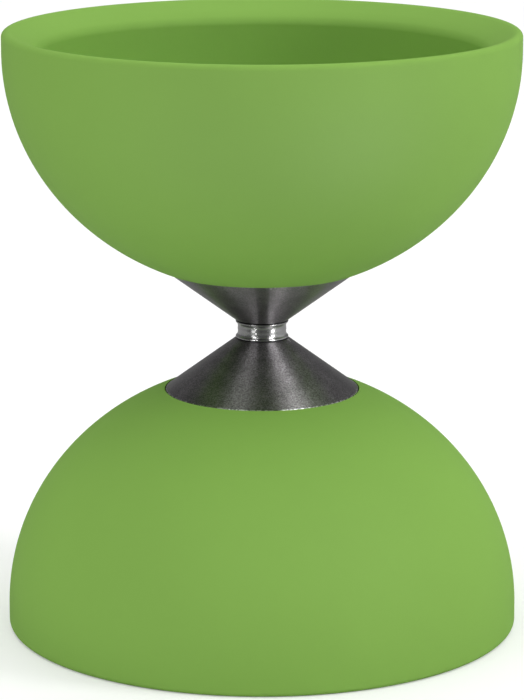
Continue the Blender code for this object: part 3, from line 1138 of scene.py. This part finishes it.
class DIABOLO_OT_make_clamps(bpy.types.Operator):
    """Model the clamp discs and washers inside the cups"""

    bl_idname = "diabolo.make_clamps"
    bl_label = "Clamp discs and washers"

    def execute(self, context):
        washer = ring(HOLE_RADIUS, WASHER_RADIUS, WASHER_FACE, WASHER_TOP, 0.15 * MM)
        for half, side in HALVES:
            disc = turned(disc_corners(), 128, longest=1.0 * MM)
            finish_piece(
                f"{half}_pressed_disc", disc, f"{half}_clamp_disc", "disc_steel", side=side
            )
            shape = turned(washer, SMALL_STEPS, longest=0.5 * MM)
            finish_piece(f"{half}_plain_washer", shape, f"{half}_washer", "nut_steel", side=side)
        return {"FINISHED"}


def nut_shape():
    """Turn the nut's body with chamfered ends and a collar, then cut six flats on it."""
    flats = WASHER_RADIUS - 1.0 * MM
    corner = flats * 2 / math.sqrt(3)
    hex_top = NUT_TOP - 1.0 * MM
    chamfer = (corner - flats) * 0.62
    collar = BORE_RADIUS + 1.0 * MM
    pocket = BORE_RADIUS + 0.55 * MM
    corners = [
        (collar, NUT_TOP, 0.3 * MM),
        (collar, hex_top, 0.15 * MM),
        (flats - 0.1 * MM, hex_top),
        (corner, hex_top - chamfer),
        (corner, NUT_FACE + chamfer),
        (flats - 0.1 * MM, NUT_FACE),
        (BORE_RADIUS + 0.25 * MM, NUT_FACE),
        (BORE_RADIUS, NUT_FACE + 0.25 * MM),
        (BORE_RADIUS, hex_top - 0.1 * MM),
        (pocket, hex_top - 0.1 * MM),
        (pocket, NUT_TOP, 0.1 * MM),
    ]
    shape = turned(corners, SMALL_STEPS, longest=0.5 * MM)
    for index in range(6):
        angle = FULL_TURN * index / 6
        outward = Vector((math.cos(angle), math.sin(angle), 0))
        cut = bmesh.ops.bisect_plane(
            shape,
            geom=[*shape.verts, *shape.edges, *shape.faces],
            plane_co=outward * flats,
            plane_no=outward,
            clear_outer=True,
        )
        edges = [e for e in cut["geom_cut"] if isinstance(e, bmesh.types.BMEdge)]
        bmesh.ops.edgeloop_fill(shape, edges=edges)
    bmesh.ops.recalc_face_normals(shape, faces=shape.faces)
    return shape


class DIABOLO_OT_make_nuts(bpy.types.Operator):
    """Model the lock nuts and their nylon inserts"""

    bl_idname = "diabolo.make_nuts"
    bl_label = "Lock nuts"

    def execute(self, context):
        low, high = NUT_TOP - 1.0 * MM, NUT_TOP - 0.12 * MM
        insert = ring(BORE_RADIUS, BORE_RADIUS + 0.5 * MM, low, high, 0.08 * MM)
        for half, side in HALVES:
            finish_piece(
                f"{half}_hexagon_nut", nut_shape(), f"{half}_lock_nut", "nut_steel", side=side
            )
            shape = turned(insert, 64, longest=0.3 * MM)
            nylon = finish("insert_nylon")
            finish_piece(
                f"{half}_nut_insert", shape, None, "nut_steel", side=side, material=nylon
            )
        return {"FINISHED"}


# ---------------------------------------------------------------- bearings


def groove(towards):
    """The balls' groove in a ring, centred on an angle."""
    reach = BALL_RADIUS + 0.06 * MM
    half = math.acos((PITCH_RADIUS - INNER_LAND) / reach)
    return arc((PITCH_RADIUS, 0.0), reach, towards - half, towards + half, 12)


def inner_ring_corners():
    half = (RING_TOP - RING_BOTTOM) / 2
    return [
        (INNER_LAND, half, 0.08 * MM),
        *groove(math.pi),
        (INNER_LAND, -half, 0.08 * MM),
        (BORE_RADIUS, -half, 0.1 * MM),
        (BORE_RADIUS, half, 0.1 * MM),
    ]


def outer_ring_corners():
    half = (RING_TOP - RING_BOTTOM) / 2
    land = 2 * PITCH_RADIUS - INNER_LAND
    seat_radius = SHIELD_RADIUS + 0.05 * MM
    seat = SHIELD_FACE - 0.05 * MM
    return [
        (RING_RADIUS, half, 0.1 * MM),
        (RING_RADIUS, -half, 0.1 * MM),
        (seat_radius, -half, 0.04 * MM),
        (seat_radius, -seat),
        (land, -seat, 0.05 * MM),
        *groove(0.0),
        (land, seat, 0.05 * MM),
        (seat_radius, seat),
        (seat_radius, half, 0.04 * MM),
    ]


def shield_corners(facing):
    """A thin flat washer on the bearing's far or near face."""
    inside = INNER_LAND + 0.17 * MM
    low, high = facing * SHIELD_FACE, facing * SHIELD_TOP
    if low > high:
        low, high = high, low
    return ring(inside, SHIELD_RADIUS, low, high, 0.03 * MM)


def add_ball(shape, index, size):
    """A sphere at one ball's place round the bearing."""
    angle = FULL_TURN * index / len(BALLS)
    made = bmesh.ops.create_uvsphere(shape, u_segments=32, v_segments=16, radius=size)
    place = (PITCH_RADIUS * math.cos(angle), PITCH_RADIUS * math.sin(angle), 0)
    bmesh.ops.translate(shape, verts=made["verts"], vec=place)


def cage_shape():
    """A turned ring with a round pocket cut through it for each ball."""
    inside = 2 * PITCH_RADIUS - CAGE_RADIUS
    outline = ring(inside, CAGE_RADIUS, -CAGE_BACK, CAGE_HORN, 0.05 * MM)
    steps = FACETS_PER_BALL * len(BALLS)
    blank = mesh_object("cage_blank", turned(outline, steps, longest=0.15 * MM))
    pockets = bmesh.new()
    for index in range(len(BALLS)):
        add_ball(pockets, index, BALL_RADIUS + 0.08 * MM)
    cutter = mesh_object("cage_cutter", pockets)
    boolean = blank.modifiers.new("Pockets", "BOOLEAN")
    boolean.operation = "DIFFERENCE"
    boolean.object = cutter
    bpy.context.view_layer.update()
    graph = bpy.context.evaluated_depsgraph_get()
    cut = bpy.data.meshes.new_from_object(blank.evaluated_get(graph))
    shape = bmesh.new()
    shape.from_mesh(cut)
    for helper in (blank, cutter):
        mesh = helper.data
        bpy.data.objects.remove(helper)
        bpy.data.meshes.remove(mesh)
    bpy.data.meshes.remove(cut)
    return shape


class DIABOLO_OT_make_bearings(bpy.types.Operator):
    """Model the two ball bearings, the spacer between them and the shims outside them"""

    bl_idname = "diabolo.make_bearings"
    bl_label = "Bearings"

    def execute(self, context):
        slot = "bearing_steel"
        shim = ring(BORE_RADIUS, SHIM_RADIUS, SHIM_FACE, SHIM_TOP, 0.06 * MM)
        spacer = ring(BORE_RADIUS, SHIM_RADIUS, -SPACER_TOP, SPACER_TOP, 0.08 * MM)
        shape = turned(spacer, SMALL_STEPS, longest=0.4 * MM)
        finish_piece("inner_ring_spacer", shape, "bearing_spacer", slot)
        rings = (
            ("inner_ring", "inner_race", inner_ring_corners(), "hub"),
            ("outer_ring", "outer_race", outer_ring_corners(), "sleeve"),
            ("far_shield", "outside_shield", shield_corners(1), "sleeve"),
            ("near_shield", "inside_shield", shield_corners(-1), "sleeve"),
        )
        for half, side in HALVES:
            place = {"side": side, "height": BEARING_PLANE}
            orbit = {"body": f"{half}_cage", **place}
            shape = turned(shim, SMALL_STEPS, longest=0.4 * MM)
            finish_piece(f"{half}_cone_shim", shape, f"{half}_shim", slot, side=side)
            for node, name, corners, body in rings:
                shape = turned(corners, SMALL_STEPS, longest=0.4 * MM)
                node = f"{half}_bearing_{node}"
                finish_piece(f"{half}_{name}", shape, node, slot, body, **place)
            node = f"{half}_bearing_cage"
            finish_piece(f"{half}_crown_cage", cage_shape(), node, "cage_brass", **orbit)
            for index in range(len(BALLS)):
                shape = bmesh.new()
                add_ball(shape, index, BALL_RADIUS)
                name = f"{half}_polished_ball_{index + 1}"
                node = f"{half}_bearing_ball_{index + 1}"
                finish_piece(name, shape, node, "ball_steel", **orbit)
        return {"FINISHED"}


# ---------------------------------------------------------------- stage


def grey(shade):
    return (shade, shade, shade, 1)


def make_floor(glow):
    shape = bmesh.new()
    bmesh.ops.create_grid(shape, x_segments=1, y_segments=1, size=FLOOR_HALF)
    bmesh.ops.translate(shape, verts=shape.verts, vec=(0, FLOOR_HALF - FLOOR_FRONT, 0))
    floor = mesh_object("studio_floor", shape)
    material, nodes, shader = new_finish("studio_white")
    rays = nodes.add("ShaderNodeLightPath").outputs
    nodes.feed(
        nodes.mix(rays["Is Glossy Ray"], grey(FLOOR_SHADE), grey(FLOOR_SHADE_IN_METAL)),
        shader.inputs["Base Color"],
    )
    nodes.feed(
        nodes.mix(rays["Is Camera Ray"], grey(0.0), grey(glow)),
        shader.inputs["Emission Color"],
    )
    shader.inputs["Emission Strength"].default_value = 1.0
    shader.inputs["Roughness"].default_value = 0.9
    shader.inputs["Specular IOR Level"].default_value = 0.1
    clear = nodes.add("ShaderNodeBsdfTransparent")
    behind = nodes.add("ShaderNodeNewGeometry").outputs["Backfacing"]
    blend = nodes.add("ShaderNodeMixShader", {"Fac": behind})
    nodes.tree.links.new(shader.outputs[0], blend.inputs[1])
    nodes.tree.links.new(clear.outputs[0], blend.inputs[2])
    output = nodes.tree.nodes["Material Output"]
    nodes.tree.links.new(blend.outputs[0], output.inputs["Surface"])
    floor.data.materials.append(material)


def add_softbox(name, azimuth, elevation, size, power, for_metal):
    """A soft panel that faces the diabolo. Azimuth 0 is the camera's side, and it grows to the right.
    A panel for metal shows only in glossy rays, and any other panel only in diffuse ones."""
    light = bpy.data.lights.new(name, "AREA")
    light.shape = "RECTANGLE"
    light.size, light.size_y = size
    light.energy = power
    lamp = bpy.data.objects.new(name, light)
    bpy.context.scene.collection.objects.link(lamp)
    turn, rise = math.radians(azimuth), math.radians(elevation)
    away = Vector(
        (math.sin(turn) * math.cos(rise), -math.cos(turn) * math.cos(rise), math.sin(rise))
    )
    lamp.location = Vector((0, 0, MIDDLE)) + away * SOFTBOX_DISTANCE
    lamp.rotation_euler = away.to_track_quat("Z", "Y").to_euler()
    lamp.visible_glossy = for_metal
    lamp.visible_diffuse = not for_metal


def make_room(stage):
    """A soft sky, brighter overhead. The camera itself sees white, and metal sees a dark front."""
    world = bpy.data.worlds.new("studio")
    bpy.context.scene.world = world
    world.use_nodes = True
    nodes = NodeTree(world.node_tree)
    background = world.node_tree.nodes["Background"]
    background.inputs["Color"].default_value = (1, 1, 1, 1)
    direction = nodes.add("ShaderNodeTexCoord").outputs["Generated"]
    parts = nodes.add("ShaderNodeSeparateXYZ", {"Vector": direction}).outputs
    rays = nodes.add("ShaderNodeLightPath").outputs
    height = nodes.ramp(parts["Z"], 0.0, 1.0)
    sky = nodes.math("MULTIPLY_ADD", height, stage.zenith - stage.horizon, stage.horizon)
    below = nodes.ramp(parts["Z"], 0.0, -0.03)
    sky = nodes.math("MULTIPLY_ADD", below, BELOW_HORIZON - stage.horizon, sky)
    behind = nodes.ramp(parts["Y"], -0.2, 0.9)
    depth = stage.backdrop - stage.dark_front
    mirrored = nodes.math("MULTIPLY_ADD", behind, depth, stage.dark_front)
    beside = nodes.ramp(parts["X"], 0.5, 1.0)
    mirrored = nodes.math("MULTIPLY_ADD", beside, stage.right_wall, mirrored)
    lit = nodes.add(
        "ShaderNodeMix",
        {"Factor": rays["Is Glossy Ray"], "A": sky, "B": mirrored},
    ).outputs["Result"]
    seen = nodes.add(
        "ShaderNodeMix", {"Factor": rays["Is Camera Ray"], "A": lit, "B": 1.0}
    ).outputs["Result"]
    nodes.feed(seen, background.inputs["Strength"])


def make_camera(stage):
    camera = bpy.data.cameras.new("camera")
    camera.lens = stage.lens
    camera.sensor_width = 36.0
    camera.shift_y = stage.shift
    camera.clip_start = 0.01
    holder = bpy.data.objects.new("camera", camera)
    bpy.context.scene.collection.objects.link(holder)
    back = Vector((0, -math.cos(stage.elevation), math.sin(stage.elevation)))
    holder.location = Vector((0, 0, MIDDLE)) + back * stage.distance
    holder.rotation_euler = (math.pi / 2 - stage.pitch, 0, 0)
    bpy.context.scene.camera = holder


class DIABOLO_OT_make_stage(bpy.types.Operator):
    """Set the floor, the studio lights and the camera"""

    bl_idname = "diabolo.make_stage"
    bl_label = "Stage"

    def execute(self, context):
        stage = context.scene.diabolo.stage
        make_floor(stage.floor_glow)
        make_room(stage)
        for name, azimuth, elevation, size in MATT_LIGHTS:
            power = getattr(stage, f"{name}_power")
            add_softbox(f"{name}_light", azimuth, elevation, size, power, False)
        for side, azimuth, share in STREAK_SIDES:
            for level, elevation, spread in STREAK_LEVELS:
                power = getattr(stage, f"streak_{level}") * share
                name = f"{side}_{level}_streak"
                add_softbox(name, azimuth * spread, elevation, STREAK_SIZE, power, True)
        make_camera(stage)
        context.scene.view_settings.view_transform = "Standard"
        return {"FINISHED"}


# ---------------------------------------------------------------- add-on


class DIABOLO_PT_panel(bpy.types.Panel):
    """Lists the steps that model the diabolo"""

    bl_idname = "DIABOLO_PT_panel"
    bl_label = "Bearing Diabolo"
    bl_space_type = "VIEW_3D"
    bl_region_type = "UI"
    bl_category = "Diabolo"

    def draw(self, context):
        given = context.scene.diabolo
        for group in (given.cup, given.metal, given.stage):
            box = self.layout.box()
            for name in group.__annotations__:
                box.prop(group, name)
        for step in STEPS:
            self.layout.operator(step.bl_idname)


STEPS = (
    DIABOLO_OT_make_cups,
    DIABOLO_OT_make_cones,
    DIABOLO_OT_make_sleeve,
    DIABOLO_OT_make_axle,
    DIABOLO_OT_make_clamps,
    DIABOLO_OT_make_nuts,
    DIABOLO_OT_make_bearings,
    DIABOLO_OT_make_stage,
)
GROUPS = (
    DiaboloCupSettings,
    DiaboloMetalSettings,
    DiaboloStageSettings,
    DiaboloSettings,
)
CLASSES = (*GROUPS, *STEPS, DIABOLO_PT_panel)


def register():
    for item in CLASSES:
        bpy.utils.register_class(item)
    bpy.types.Scene.diabolo = PointerProperty(type=DiaboloSettings)


def unregister():
    del bpy.types.Scene.diabolo
    for item in reversed(CLASSES):
        bpy.utils.unregister_class(item)


def main():
    register()
    bpy.ops.diabolo.make_cups()
    bpy.ops.diabolo.make_cones()
    bpy.ops.diabolo.make_sleeve()
    bpy.ops.diabolo.make_axle()
    bpy.ops.diabolo.make_clamps()
    bpy.ops.diabolo.make_nuts()
    bpy.ops.diabolo.make_bearings()
    bpy.ops.diabolo.make_stage()


if __name__ == "__main__":
    main()
